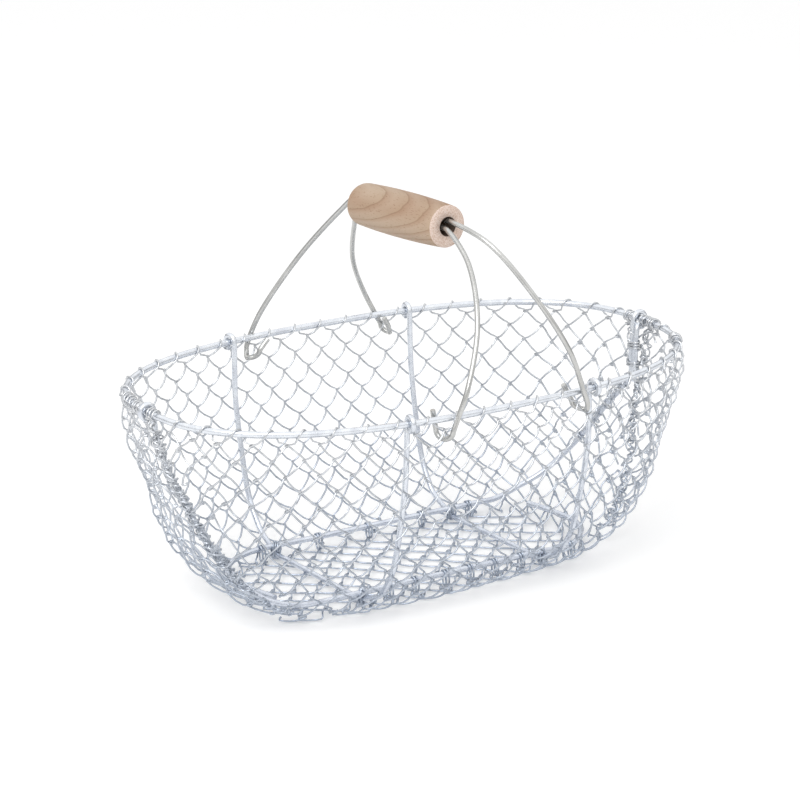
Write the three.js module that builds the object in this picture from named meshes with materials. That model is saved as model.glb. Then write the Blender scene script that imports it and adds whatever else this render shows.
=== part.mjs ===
// Shellfish gathering basket: a bent wire frame that carries a chain-link net, with two bails through one grip.
// Millimetres, +Z up, +X along the basket. The origin is on the floor under the middle of the rim.
import * as THREE from "three";
import { mergeVertices } from "three/addons/utils/BufferGeometryUtils.js";

// Rim and floor: ovals squarer than an ellipse, the floor's more so and with its ends pulled aside
const rimHalfLength = 197;
const rimHalfWidth = 114.5;
const rimHeight = 141.5;
const rimSquareness = 2.5;
const floorHalfLength = 122;
const floorHalfWidth = 62;
const floorSquareness = 3.4;
const floorSkew = 0.12;

// Wires, and the gaps left between them
const rimWire = 4.4;
const ribWire = 3.8;
const railWire = 4;
const bailWire = 3.5;
const bindingWire = 1.6;
const clearance = 0.3;
const wireGap = 0.5;
const eyeSlack = 0.2;

// Where the ribs meet the rim along X, and the end stays and the net's seams along Y
const leftRibX = -71.3;
const rightRibX = 72.8;
const leftStayY = 3.2;
const rightStayY = 8.8;
const seamY = -5;
const ribOffNet = 1.1;
const railInset = 8;
const railLift = 1.5;
const tailLength = 42;
const tailLean = 7.5;
const tailOffRim = 0.8;
const tailBindingTop = 14;
const tailBindingLength = 17;

// The net's strands are three-sided, with their flat side inwards on the walls and down under the floor
const netColumns = 41.2;
const netMiddleX = 3.6;
const netRows = 12;
const floorRows = 10;
const strandWidth = 2;
const strandHeight = 1.8;
const netOverRim = 1.5;
const netBelowRim = 7;
const netOffRim = 0.35;
const floorMargin = 7;

// The grip, and how it hangs over the rim: turned a little in plan and with its near end higher
const gripLength = 96;
const gripEndDiameter = 28;
const gripMiddleDiameter = 31;
const gripBore = 12.6;
const gripFarRound = 7;
const gripNearEdge = 0.8;
const gripX = -3.2;
const gripAboveRim = 103.2;
const gripPlanAngle = THREE.MathUtils.degToRad(3);
const gripTilt = THREE.MathUtils.degToRad(2);

// The bails' hooks, and how the two bails lie in the bore
const hookRound = 5.6;
const hookDrop = 8.2;
const hookOffRim = 0.6;
const bailsApart = 0.4;
const bailOffBore = 0.4;

const galvanised = { color: "#c5cbd8", roughness: 0.42, metalness: 0.9 };
const brightWire = { color: "#a3a3a0", roughness: 0.35, metalness: 0.9 };
const netWire = { color: "#bcc2cf", roughness: 0.48, metalness: 0.85 };
const beech = { color: "#c9a98c", roughness: 0.7, metalness: 0 };

const up = new THREE.Vector3(0, 0, 1);
const vec = (x, y, z) => new THREE.Vector3(x, y, z);
const { degToRad, lerp, clamp } = THREE.MathUtils;
const basket = new THREE.Group();

function add(name, geometry, finish) {
  const mesh = new THREE.Mesh(geometry, new THREE.MeshStandardMaterial(finish));
  mesh.name = name;
  basket.add(mesh);
  return mesh;
}

// Oval plan of the basket at one height, from the middle of the near side round by the right end
class Oval extends THREE.Curve {
  constructor(halfLength, halfWidth, power, z, skew = 0) {
    super();
    Object.assign(this, { halfLength, halfWidth, power, z, skew });
  }
  // How far the outline is pulled to the far side at one place along it, which is mostly near its ends
  aside(x) {
    return this.skew * x * (x / this.halfLength) ** 2;
  }
  getPoint(t) {
    const angle = 2 * Math.PI * t;
    const bulge = (value) => Math.sign(value) * Math.abs(value) ** (2 / this.power);
    const x = this.halfLength * bulge(Math.sin(angle));
    return vec(x, this.aside(x) - this.halfWidth * bulge(Math.cos(angle)), this.z);
  }
}

// A wire's centre line, with a bend at every point given
class BentLine extends THREE.Curve {
  constructor(points) {
    super();
    this.points = points;
  }
  getPoint(t) {
    const place = t * (this.points.length - 1);
    const i = Math.min(Math.floor(place), this.points.length - 2);
    return this.points[i].clone().lerp(this.points[i + 1], place - i);
  }
  getPointAt(t) {
    return this.getPoint(t);
  }
  getTangentAt(t) {
    return this.getTangent(t);
  }
}

// A round wire along points, smoothed between them with a few steps a span
function wire(points, diameter, sides, stepsPerSpan = 1) {
  const spline = new THREE.CatmullRomCurve3(points, false, "centripetal");
  const smooth = stepsPerSpan > 1 ? spline.getPoints(stepsPerSpan * (points.length - 1)) : points;
  const corners = [];
  for (let i = 0; i < sides; i++) {
    const angle = (2 * Math.PI * i) / sides;
    corners.push(new THREE.Vector2(Math.cos(angle), Math.sin(angle)).multiplyScalar(diameter / 2));
  }
  return new THREE.ExtrudeGeometry(new THREE.Shape(corners), {
    steps: smooth.length - 1,
    extrudePath: new BentLine(smooth),
    bevelEnabled: false,
  });
}

// Rim: one wire whose ends are joined
const rimSteps = 80;
const rimSides = 8;
const rimCurve = new Oval(rimHalfLength, rimHalfWidth, rimSquareness, rimHeight);
const rimTube = new THREE.TubeGeometry(rimCurve, rimSteps, rimWire / 2, rimSides, true);
rimTube.deleteAttribute("uv");
rimTube.deleteAttribute("normal");
add("rim", mergeVertices(rimTube, 1e-3), galvanised);

// The net's columns are set by the rim, which its first row goes round
const netPitch = rimCurve.getLength() / netColumns;

// The point of the rim at one place along a side or an end, with the way out of the basket there
function rimAt(x, y, side) {
  const share = (value, half) => (1 - Math.abs(value / half) ** rimSquareness) ** (1 / rimSquareness);
  const alongEnd = x === null;
  const at = alongEnd
    ? vec(side * rimHalfLength * share(y, rimHalfWidth), y, rimHeight)
    : vec(x, side * rimHalfWidth * share(x, rimHalfLength), rimHeight);
  const slope = (value, half) => (Math.sign(value) * Math.abs(value / half) ** (rimSquareness - 1)) / half;
  const out = vec(slope(at.x, rimHalfLength), slope(at.y, rimHalfWidth), 0).normalize();
  return { at, out };
}

// A point round the rim's wire: angle 0 is outside, 90 above, 180 inside
function roundRim(place, radius, degrees) {
  const angle = degToRad(degrees);
  return place.at
    .clone()
    .addScaledVector(place.out, radius * Math.cos(angle))
    .addScaledVector(up, radius * Math.sin(angle));
}

// Eye at the end of a wire that comes up inside the rim, goes over it and curls back under it
const eyeAngles = [-80, -54, -28, -2, 24, 50, 76, 102, 128, 154, 180];
const eyeRadius = (diameter) => rimWire / 2 + clearance + diameter / 2 + eyeSlack;
function eye(place, diameter) {
  return eyeAngles.map((degrees) => roundRim(place, eyeRadius(diameter), degrees));
}

// The net's profile, as shares of the way from the floor to the rim in length, width and height
const netTop = vec(rimHalfLength + netOverRim, rimHalfWidth + netOverRim, rimHeight - netBelowRim);
const netFoot = vec(floorHalfLength, floorHalfWidth, 1.5 * strandHeight + clearance);
const netShares = [
  [1, 1, 1],
  [0.96, 0.965, 0.859],
  [0.826, 0.87, 0.616],
  [0.697, 0.723, 0.369],
  [0.571, 0.63, 0.247],
  [0.444, 0.47, 0.141],
  [0.222, 0.251, 0.049],
  [0, 0, 0],
];
const netProfile = new THREE.CatmullRomCurve3(
  netShares.map(([x, y, z]) => vec(
    lerp(netFoot.x, netTop.x, x),
    lerp(netFoot.y, netTop.y, y),
    lerp(netFoot.z, netTop.z, z),
  )),
);

const outlines = new Map();
function outlineAt(depth) {
  if (!outlines.has(depth)) {
    const { x, y, z } = netProfile.getPointAt(clamp(depth, 0, 1));
    outlines.set(depth, new Oval(x, y, lerp(rimSquareness, floorSquareness, depth), z, floorSkew * depth));
  }
  return outlines.get(depth);
}

// A point of the net: side -1 is the near sheet and 1 the far one, along is the arc from its middle
function netPoint(side, along, depth) {
  const outline = outlineAt(depth);
  const share = along / outline.getLength();
  const turn = side < 0 ? share : 0.5 - share;
  return outline.getPointAt(((turn % 1) + 1) % 1);
}

function netOut(side, along, depth) {
  const step = 2;
  const a = netPoint(side, along - step, depth);
  const b = netPoint(side, along + step, depth);
  const c = netPoint(side, along, Math.max(depth - 0.02, 0));
  const d = netPoint(side, along, Math.min(depth + 0.02, 1));
  const out = b.sub(a).cross(d.sub(c)).normalize();
  const here = netPoint(side, along, depth);
  return out.dot(vec(here.x, here.y, 0)) < 0 ? out.negate() : out;
}

// The arc from the middle of a side to the end of the basket, and to the seam there
const quarterAt = (depth) => outlineAt(depth).getLength() / 4;
const seamAlong = (side, depth) => quarterAt(depth) - side * seamY;

// Ribs: inside the net from eye to eye, flat across the floor
const ribFloor = strandHeight + wireGap + ribWire / 2;
const ribInset = strandHeight / 2 + ribWire / 2 + ribOffNet;
const ribDepths = [0.2, 0.42, 0.6, 0.72, 0.82, 0.9];
const ribFloorShares = [-0.81, -0.62, 0, 0.62, 0.81];
function ribHalf(x, side) {
  const points = eye(rimAt(x, null, side), ribWire);
  for (const depth of ribDepths) {
    const outline = outlineAt(depth);
    const { halfLength, halfWidth, power, z } = outline;
    const width = halfWidth * (1 - Math.abs(x / halfLength) ** power) ** (1 / power);
    const higher = netProfile.getPointAt(depth - 0.05);
    const lower = netProfile.getPointAt(depth + 0.05);
    const run = vec(0, lower.y - higher.y, lower.z - higher.z).normalize();
    const y = outline.aside(x) + side * (width + run.z * ribInset);
    points.push(vec(x, y, Math.max(z - run.y * ribInset, ribFloor)));
  }
  return points;
}
for (const [name, x] of [["rib_left", leftRibX], ["rib_right", rightRibX]]) {
  const middle = ribFloorShares.map((share) => vec(x, share * floorHalfWidth, ribFloor));
  add(name, wire([...ribHalf(x, -1), ...middle, ...ribHalf(x, 1).reverse()], ribWire, 6, 2), galvanised);
}

// Rails and end stays: each wire hangs from one end of the rim, comes down inside the net, lies along the
// floor's edge on the ribs and bends round the floor's other end. A stay's points are shares of the rim's
// half-length, half-width and height, and a rail's are shares of the floor's half-length and of railY.
const railY = floorHalfWidth - railInset;
const railZ = ribFloor + ribWire / 2 + clearance + railWire / 2 + railLift;
const onStay = (x, y, z) => vec(x * rimHalfLength, y * rimHalfWidth, z * rimHeight);
const onRail = (x, y) => vec(x * floorHalfLength, y * railY, railZ);
const nearRail = [
  ...eye(rimAt(null, leftStayY, -1), railWire),
  onStay(-0.976, 0.003, 0.892),
  onStay(-0.936, -0.03, 0.688),
  onStay(-0.885, -0.19, 0.457),
  onStay(-0.783, -0.32, 0.21),
  onStay(-0.715, -0.405, 0.128),
  onRail(-1.005, -0.911),
  onRail(-0.889, -1),
  onRail(-0.464, -1),
  onRail(0.03, -1),
  onRail(0.523, -1),
  onRail(0.784, -1),
  onRail(0.926, -0.79),
  onRail(1.05, -0.357),
  onRail(1.05, 0.179),
  onRail(1.02, 0.607),
];
add("near_rail_and_left_stay", wire(nearRail, railWire, 6, 2), galvanised);

// The right stay's eye has a tail that goes on down beside the stay
const rightEye = rimAt(null, rightStayY, 1);
const besideStay = rightEye.out.clone().cross(up);
const tailApart = railWire + wireGap;
const tailTop = roundRim(rightEye, eyeRadius(railWire) + tailOffRim, 180);
const tailFoot = tailTop.clone().addScaledVector(up, -tailLength).addScaledVector(rightEye.out, -tailLean);
const downTail = (share) => tailTop.clone().lerp(tailFoot, share);
const tail = [1, 0.62, 0.29].map((share) => downTail(share).addScaledVector(besideStay, tailApart));
const tailTurn = [
  [-145, 1],
  [-105, 0.9],
  [-70, 0.6],
  [-35, 0.3],
].map(([degrees, share]) =>
  roundRim(rightEye, eyeRadius(railWire) + tailOffRim / 2, degrees).addScaledVector(besideStay, share * tailApart),
);
const farRail = [
  ...tail,
  ...tailTurn,
  ...eye(rightEye, railWire).slice(4),
  downTail(0.5),
  downTail(0.95),
  onStay(0.909, 0.12, 0.575),
  onStay(0.854, 0.295, 0.362),
  onStay(0.758, 0.422, 0.188),
  onStay(0.668, 0.485, 0.114),
  onRail(0.898, 1),
  onRail(0.784, 1),
  onRail(0.275, 1),
  onRail(-0.299, 1),
  onRail(-0.725, 1),
  onRail(-0.926, 0.79),
  onRail(-1.05, 0.357),
  onRail(-1.05, -0.179),
  onRail(-1.02, -0.571),
];
add("far_rail_and_right_stay", wire(farRail, railWire, 6, 2), galvanised);

// Grip: a turned barrel, rounded at its far end and cut square at its near end
const gripCentre = vec(gripX, 0, rimHeight + gripAboveRim);
const gripAxis = vec(
  -Math.sin(gripPlanAngle) * Math.cos(gripTilt),
  Math.cos(gripPlanAngle) * Math.cos(gripTilt),
  -Math.sin(gripTilt),
);
const gripHalf = gripLength / 2;
const barrel = (share) => {
  const swell = gripMiddleDiameter - gripEndDiameter;
  return (gripEndDiameter + swell * (1 - share ** 2)) / 2;
};
const roundStart = 1 - gripFarRound / gripHalf;
const edgeStart = 1 - gripNearEdge / gripHalf;
const gripProfile = [
  new THREE.Vector2(gripBore / 2, -gripHalf),
  new THREE.Vector2(barrel(-1) - gripNearEdge, -gripHalf),
];
for (const share of [-edgeStart, -0.62, -0.31, 0, 0.31, 0.58, roundStart]) {
  gripProfile.push(new THREE.Vector2(barrel(share), share * gripHalf));
}
for (const degrees of [30, 60, 90]) {
  const angle = degToRad(degrees);
  const radius = barrel(roundStart) - gripFarRound * (1 - Math.cos(angle));
  gripProfile.push(new THREE.Vector2(radius, gripHalf - gripFarRound * (1 - Math.sin(angle))));
}
gripProfile.push(new THREE.Vector2(gripBore / 2, gripHalf));
gripProfile.push(gripProfile[0].clone());
const grip = add("grip", new THREE.LatheGeometry(gripProfile, 28), beech);
grip.quaternion.setFromUnitVectors(vec(0, 1, 0), gripAxis);
grip.position.copy(gripCentre);

// Bails: side by side in the top of the grip's bore, bowed down to hooks that go under the rim
const gripSide = gripAxis.clone().cross(up).normalize();
const gripUp = gripSide.clone().cross(gripAxis).normalize();
const bailAside = (bailWire + bailsApart) / 2;
const bailReach = (gripBore - bailWire) / 2 - bailOffBore;
const bailRise = Math.sqrt(bailReach ** 2 - bailAside ** 2);
const boreShares = [1.0625, 0.9375, 0, -0.9375, -1.0625];
const inBore = (side, share) =>
  gripCentre
    .clone()
    .addScaledVector(gripAxis, share * gripHalf)
    .addScaledVector(gripSide, side * bailAside)
    .addScaledVector(gripUp, bailRise);

// A hook at one place along the rim: the leg and the tail lean along X, and the tail ends near the rim
function hook({ x, side, legLean, tailLean, tailRise }) {
  const place = rimAt(x, null, side);
  const legOut = rimWire / 2 + clearance + bailWire / 2 + hookOffRim;
  const points = [0, -45, -90, -135, -180].map((degrees) => {
    const angle = degToRad(degrees);
    const point = place.at.clone().addScaledVector(place.out, legOut - hookRound + hookRound * Math.cos(angle));
    const lean = Math.cos(angle) / 2;
    point.x += lean > 0 ? legLean * lean : -tailLean * lean;
    point.z += hookRound * Math.sin(angle) - hookDrop;
    return point;
  });
  const tailTip = points.at(-1).clone();
  tailTip.x += tailLean / 2;
  tailTip.z = rimHeight + tailRise;
  const legFoot = points[0].clone();
  legFoot.x += legLean / 2;
  legFoot.z = rimHeight + 1;
  return [legFoot, ...points, tailTip];
}

// A leg's points are shares of the way from its hook to the grip along X, of the rim's half-width out from
// the middle, and of the grip's height above the rim
function leg({ x, side }, shares) {
  return shares.map(([inwards, outwards, rise]) =>
    vec(lerp(x, gripX, inwards), side * rimHalfWidth * outwards, rimHeight + gripAboveRim * rise),
  );
}
function addBail(name, side, farHook, farShares, nearHook, nearShares) {
  const route = [
    ...hook(farHook).reverse(),
    ...leg(farHook, farShares),
    ...boreShares.map((share) => inBore(side, share)),
    ...leg(nearHook, nearShares).reverse(),
    ...hook(nearHook),
  ];
  add(name, wire(route, bailWire, 8, 2), brightWire);
}
addBail(
  "bail_left",
  -1,
  { x: -59.1, side: 1, legLean: 7, tailLean: 8, tailRise: -1 },
  [[0.215, 0.969, 0.184], [0.601, 0.83, 0.562], [0.889, 0.576, 0.911]],
  { x: -47.4, side: -1, legLean: 8, tailLean: -5, tailRise: 5 },
  [[0.317, 1.039, 0.174], [0.701, 0.917, 0.523], [0.973, 0.672, 0.843]],
);
addBail(
  "bail_right",
  1,
  { x: 56.6, side: 1, legLean: -10, tailLean: -8, tailRise: -1 },
  [[0.246, 1.057, 0.136], [0.546, 0.943, 0.426], [0.86, 0.664, 0.804]],
  { x: 66.1, side: -1, legLean: -7, tailLean: -14, tailRise: 4 },
  [[0.281, 1.039, 0.291], [0.556, 0.934, 0.64], [0.83, 0.716, 0.959]],
);

// Net. A knot is a place where strands meet, and a strand joins two knots
const knots = [];
const strands = [];
function knot(at, out, panel) {
  const made = { at, out, panel, ends: [] };
  knots.push(made);
  return made;
}
const strand = (from, to) => strands.push({ from, to });

// Panels that each stay close to flat: sectors from the middle of a side to its seam, in two tiers
const upperRows = 8;
const sectors = {
  upper: { middle: 0.17, side: 0.5, corner: 0.65, bend: 0.8, end: Infinity },
  lower: { middle: 0.17, side: 0.5, corner: 0.65, end: Infinity },
};
function panelOf(side, along, row) {
  const share = Math.abs(along) / quarterAt(row / netRows);
  const tier = row <= upperRows ? "upper" : "lower";
  const sector = Object.keys(sectors[tier]).find((name) => share < sectors[tier][name]);
  const hand = along < 0 ? "left_" : "right_";
  const sheet = side < 0 ? "near" : "far";
  return `net_${sheet}_${tier}_${sector === "middle" ? "" : hand}${sector}`;
}
function netKnot(side, along, row) {
  const depth = row / netRows;
  return knot(netPoint(side, along, depth), netOut(side, along, depth), panelOf(side, along, row));
}

// Seam knots: the last column of both sheets, laced together
const seams = { left: [], right: [] };
for (const [hand, sign] of [["left", -1], ["right", 1]]) {
  for (let row = 0; row <= netRows; row++) {
    const made = netKnot(-1, sign * seamAlong(-1, row / netRows), row);
    made.onSeam = true;
    if (row > 0) strand(seams[hand][row - 1], made);
    seams[hand].push(made);
  }
}

// Strands from each knot of a row to its two neighbours in the row before
function joinRows(before, after, reach) {
  for (const [column, made] of after) {
    for (const other of [before.get(column - 0.5), before.get(column + 0.5)]) {
      if (!other || (other.onSeam && made.onSeam)) continue;
      if (other.at.distanceTo(made.at) < reach) strand(other, made);
    }
  }
}
const rowShift = (row) => ((row + 1) % 2) / 2;

// Two sheets, near and far, of knots set half a pitch aside from row to row. A sheet's outermost column is
// drawn to the seam knot.
const seamMargin = 0.36 * netPitch;
function wallRow(side, row) {
  const seam = seamAlong(side, row / netRows);
  const most = Math.ceil(seam / netPitch) + 1;
  const made = new Map();
  for (let column = rowShift(row) - most; column <= most; column++) {
    const along = netMiddleX + column * netPitch;
    const beyond = Math.abs(along) - seam + seamMargin;
    if (beyond < 0) made.set(column, netKnot(side, along, row));
    else if (beyond < netPitch) made.set(column, seams[along < 0 ? "left" : "right"][row]);
  }
  return made;
}
function wallSheet(side) {
  let row = wallRow(side, 0);
  for (const made of row.values()) made.atRim = !made.onSeam;
  for (let i = 1; i <= netRows; i++) {
    const next = wallRow(side, i);
    joinRows(row, next, Infinity);
    row = next;
  }
  return row;
}
const nearFoot = wallSheet(-1);
const farFoot = wallSheet(1);

// Floor: knots in line with the walls' columns, inside the walls' last row
const floorZ = strandHeight / 2;
const floorColumns = Math.ceil(floorHalfLength / netPitch) + 1;
function insideFloor(x, y) {
  const lengthShare = Math.abs(x / (floorHalfLength - floorMargin));
  const widthShare = Math.abs(y / (floorHalfWidth - floorMargin));
  return lengthShare ** rimSquareness + widthShare ** rimSquareness < 1;
}
let lastFloorRow = nearFoot;
for (let row = 1; row < floorRows; row++) {
  const floorRow = new Map();
  const y = floorHalfWidth * ((2 * row) / floorRows - 1);
  for (let column = rowShift(row) - floorColumns; column <= floorColumns; column++) {
    const x = netMiddleX + column * netPitch;
    const aside = outlineAt(1).aside(x);
    if (insideFloor(x, y)) floorRow.set(column, knot(vec(x, y + aside, floorZ), up, "net_floor"));
  }
  joinRows(lastFloorRow, floorRow, netPitch);
  lastFloorRow = floorRow;
}
joinRows(lastFloorRow, farFoot, netPitch);

const neighboursOf = (made) =>
  strands
    .filter(({ from, to }) => from === made || to === made)
    .map(({ from, to }) => (from === made ? to : from));

// At the floor's ends each knot of the walls' last row is joined to the floor knot nearest to it
const onFloor = knots.filter(({ panel }) => panel === "net_floor");
for (const made of new Set([...nearFoot.values(), ...farFoot.values()])) {
  if (neighboursOf(made).some((other) => onFloor.includes(other))) continue;
  const distance = (other) => other.at.distanceTo(made.at);
  strand(made, onFloor.reduce((best, other) => (distance(other) < distance(best) ? other : best)));
}

// A few knots at a panel's edge that only meet another panel's knots go over to that panel
function groupsOf(panel) {
  const left = new Set(knots.filter((made) => made.panel === panel));
  const groups = [];
  while (left.size) {
    const group = [left.values().next().value];
    left.delete(group[0]);
    for (const made of group) {
      for (const other of neighboursOf(made)) {
        if (left.delete(other)) group.push(other);
      }
    }
    groups.push(group);
  }
  return groups.sort((p, q) => q.length - p.length);
}
for (const panel of new Set(knots.map((made) => made.panel))) {
  for (const group of groupsOf(panel).slice(1)) {
    const beside = group.flatMap(neighboursOf).find((other) => other.panel !== panel);
    for (const made of group) made.panel = beside.panel;
  }
}

// Strands that cross from one panel to the next are cut halfway, with a clearance between the ends
for (const { from, to } of strands) {
  const way = to.at.clone().sub(from.at).normalize();
  const back = way.clone().negate();
  if (from.panel === to.panel) {
    const link = { panel: from.panel };
    from.ends.push({ way, link, linkEnd: "start" });
    to.ends.push({ way: back, link, linkEnd: "finish" });
    continue;
  }
  const middle = from.at.clone().lerp(to.at, 0.5);
  for (const [end, outward] of [[from, way], [to, back]]) {
    const tip = middle.clone().addScaledVector(outward, -clearance / 2);
    end.ends.push({ way: outward, route: [tip], outs: [end.out] });
  }
}

// Hooks over the rim at the first row's knots, left out where a rib's or stay's eye is
const eyePlaces = [
  rimAt(leftRibX, null, -1),
  rimAt(leftRibX, null, 1),
  rimAt(rightRibX, null, -1),
  rimAt(rightRibX, null, 1),
  rimAt(null, leftStayY, -1),
  rightEye,
];
const eyeRoom = (railWire + strandWidth) / 2 + 2 * clearance;
const endShare = 0.76;
const overRim = rimWire / 2 + clearance + netOffRim + strandHeight / 2;
const overRimAngles = [0, 55, 110, 165];
for (const made of knots.filter(({ atRim }) => atRim)) {
  const { x, y } = made.at;
  const onEnd = Math.abs(x) > endShare * rimHalfLength;
  const place = onEnd ? rimAt(null, y, Math.sign(x)) : rimAt(x, null, Math.sign(y));
  if (eyePlaces.some(({ at }) => at.distanceTo(place.at) < eyeRoom)) continue;
  made.ends.push({
    way: up.clone(),
    route: overRimAngles.map((degrees) => roundRim(place, overRim, degrees)),
    outs: overRimAngles.map((degrees) => roundRim(place, 1, degrees).sub(place.at)),
  });
}

// A strand's section: its ridge on the outward side and two corners on the flat side
function section(at, out, along) {
  const aside = out.clone().cross(along).normalize();
  const square = along.clone().cross(aside).normalize();
  const flat = at.clone().addScaledVector(square, -strandHeight / 2);
  return {
    ridge: at.clone().addScaledVector(square, strandHeight / 2),
    left: flat.clone().addScaledVector(aside, strandWidth / 2),
    right: flat.clone().addScaledVector(aside, -strandWidth / 2),
  };
}

const panels = new Map();
function face(panel, ...points) {
  if (!panels.has(panel)) panels.set(panel, []);
  panels.get(panel).push(...points);
}
function skin(panel, a, b) {
  for (const [p, q] of [["ridge", "left"], ["left", "right"], ["right", "ridge"]]) {
    face(panel, a[p], b[q], a[q]);
    face(panel, a[p], b[p], b[q]);
  }
}

// A knot's strands sorted round its outward way. Its corners lie between neighbouring strands, no further
// out than a narrow fork allows, and its ridge point is over its middle.
const narrowFork = 0.3;
for (const { at, out, panel, ends } of knots) {
  const east = ends[0].way.clone().projectOnPlane(out).normalize();
  const north = out.clone().cross(east);
  const bearing = ({ way }) => {
    const angle = Math.atan2(way.dot(north), way.dot(east));
    return angle < -1e-6 ? angle + 2 * Math.PI : Math.max(angle, 0);
  };
  ends.sort((p, q) => bearing(p) - bearing(q));
  const flat = at.clone().addScaledVector(out, -strandHeight / 2);
  const ridge = at.clone().addScaledVector(out, strandHeight / 2);
  const corners = ends.map((end, i) => {
    const start = bearing(end);
    let gap = bearing(ends[(i + 1) % ends.length]) - start;
    if (gap <= 1e-9) gap += 2 * Math.PI;
    const reach = strandWidth / 2 / Math.max(Math.sin(gap / 2), narrowFork);
    const angle = start + gap / 2;
    return flat
      .clone()
      .addScaledVector(east, reach * Math.cos(angle))
      .addScaledVector(north, reach * Math.sin(angle));
  });
  ends.forEach((end, i) => {
    let last = { ridge, left: corners[i], right: corners.at(i - 1) };
    if (end.link) {
      end.link[end.linkEnd] = last;
      return;
    }
    end.route.forEach((point, step) => {
      const back = step ? end.route[step - 1] : at;
      const ahead = end.route[step + 1] ?? point;
      const next = section(point, end.outs[step], ahead.clone().sub(back));
      skin(panel, last, next);
      last = next;
    });
    face(panel, last.ridge, last.right, last.left);
  });
  for (let i = 1; i < corners.length - 1; i++) face(panel, corners[0], corners[i + 1], corners[i]);
}
const links = new Set(knots.flatMap(({ ends }) => ends.flatMap(({ link }) => link ?? [])));
for (const { panel, start, finish } of links) {
  skin(panel, start, { ridge: finish.ridge, left: finish.right, right: finish.left });
}
for (const [name, points] of panels) {
  const geometry = new THREE.BufferGeometry().setFromPoints(points);
  add(name, mergeVertices(geometry, 1e-3), netWire);
}

// Binding: thin wire wound over the right stay and its tail, an open coil of a few turns
const coilTurns = 5;
const coilSteps = 8;
const coilHalfWidth = railWire + wireGap / 2 + bindingWire / 2 + 2 * wireGap;
const coilHalfHeight = (railWire + bindingWire) / 2 + 2.6 * wireGap;
const coil = [];
for (let i = 0; i <= coilTurns * coilSteps; i++) {
  const angle = (2 * Math.PI * i) / coilSteps;
  const run = tailBindingTop + tailBindingLength * (1 - i / (coilTurns * coilSteps));
  coil.push(
    downTail(run / tailLength)
      .addScaledVector(besideStay, tailApart / 2 + coilHalfWidth * Math.cos(angle))
      .addScaledVector(rightEye.out, -coilHalfHeight * Math.sin(angle)),
  );
}
add("stay_tail_binding", wire(coil, bindingWire, 5), galvanised);
let leastGap = Infinity;
coil.forEach((p, i) => {
  for (const q of coil.slice(i + coilSteps / 2)) leastGap = Math.min(leastGap, p.distanceTo(q) - bindingWire);
});
console.log(`stay_tail_binding least gap between turns ${leastGap.toFixed(2)} mm`);

export default basket;
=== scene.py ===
"""Looks of a shellfish gathering basket: galvanised chain-link on a bent wire frame, and a beech grip.

Metres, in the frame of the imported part: +X along the basket, +Z up, origin on the floor.
"""

import math
import random

import bmesh
import bpy
import numpy as np
from mathutils import Matrix, Vector


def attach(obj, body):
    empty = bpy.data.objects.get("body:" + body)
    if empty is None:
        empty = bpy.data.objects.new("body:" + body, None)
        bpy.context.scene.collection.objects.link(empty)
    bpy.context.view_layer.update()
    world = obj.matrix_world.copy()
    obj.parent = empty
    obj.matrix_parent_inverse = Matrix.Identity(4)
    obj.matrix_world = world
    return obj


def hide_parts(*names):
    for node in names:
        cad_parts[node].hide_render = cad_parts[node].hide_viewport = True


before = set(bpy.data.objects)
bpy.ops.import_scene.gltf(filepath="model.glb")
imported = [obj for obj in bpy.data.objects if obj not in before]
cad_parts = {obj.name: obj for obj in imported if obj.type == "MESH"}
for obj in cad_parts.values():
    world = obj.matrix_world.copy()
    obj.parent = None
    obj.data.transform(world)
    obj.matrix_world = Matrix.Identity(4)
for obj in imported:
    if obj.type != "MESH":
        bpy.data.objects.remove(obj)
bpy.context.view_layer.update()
MM = 0.001


# Camera. It stands off the near left corner, a little above the rim, and looks along the basket's length.
AZIMUTH = math.radians(33.47)
ELEVATION = math.radians(17.18)
DISTANCE = 2.312
AIM = Vector((-0.0070, -0.0016, 0.1182))
SENSOR_WIDTH = 36
FOCAL_LENGTH = 156.04
camera_data = bpy.data.cameras.new("camera")
camera_data.sensor_width = SENSOR_WIDTH
camera_data.lens = FOCAL_LENGTH
camera = bpy.data.objects.new("camera", camera_data)
look = Vector((
    math.sin(AZIMUTH) * math.cos(ELEVATION),
    math.cos(AZIMUTH) * math.cos(ELEVATION),
    -math.sin(ELEVATION),
))
camera.location = AIM - DISTANCE * look
camera.rotation_euler = look.to_track_quat("-Z", "Y").to_euler()
bpy.context.scene.collection.objects.link(camera)
bpy.context.scene.camera = camera


def linear(hex_colour):
    """An sRGB hex colour as linear RGBA."""
    values = [int(hex_colour[i:i + 2], 16) / 255 for i in (1, 3, 5)]
    return [v / 12.92 if v <= 0.04045 else ((v + 0.055) / 1.055) ** 2.4 for v in values] + [1]


def node(tree, kind, settings=None, **inputs):
    """Adds a node; settings are its properties, inputs are values or sockets to link."""
    made = tree.nodes.new(kind)
    for name, value in (settings or {}).items():
        setattr(made, name, value)
    for name, value in inputs.items():
        socket = made.inputs[int(name[1:])] if name[0] == "i" and name[1:].isdigit() else made.inputs[name]
        if isinstance(value, bpy.types.NodeSocket):
            tree.links.new(value, socket)
        else:
            socket.default_value = value
    return made


def ramp(tree, factor, *stops):
    """A colour ramp from (position, hex colour) stops."""
    made = node(tree, "ShaderNodeValToRGB", Fac=factor)
    elements = made.color_ramp.elements
    while len(elements) < len(stops):
        elements.new(0.5)
    for element, (position, colour) in zip(elements, stops):
        element.position = position
        element.color = linear(colour)
    return made.outputs["Color"]


def mapped(tree, value, start, end, low=0.0, high=1.0):
    """A value that goes from start to end, turned into one that goes from low to high."""
    ends = {"From Min": start, "From Max": end, "To Min": low, "To Max": high}
    return node(tree, "ShaderNodeMapRange", Value=value, **ends).outputs["Result"]


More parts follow.
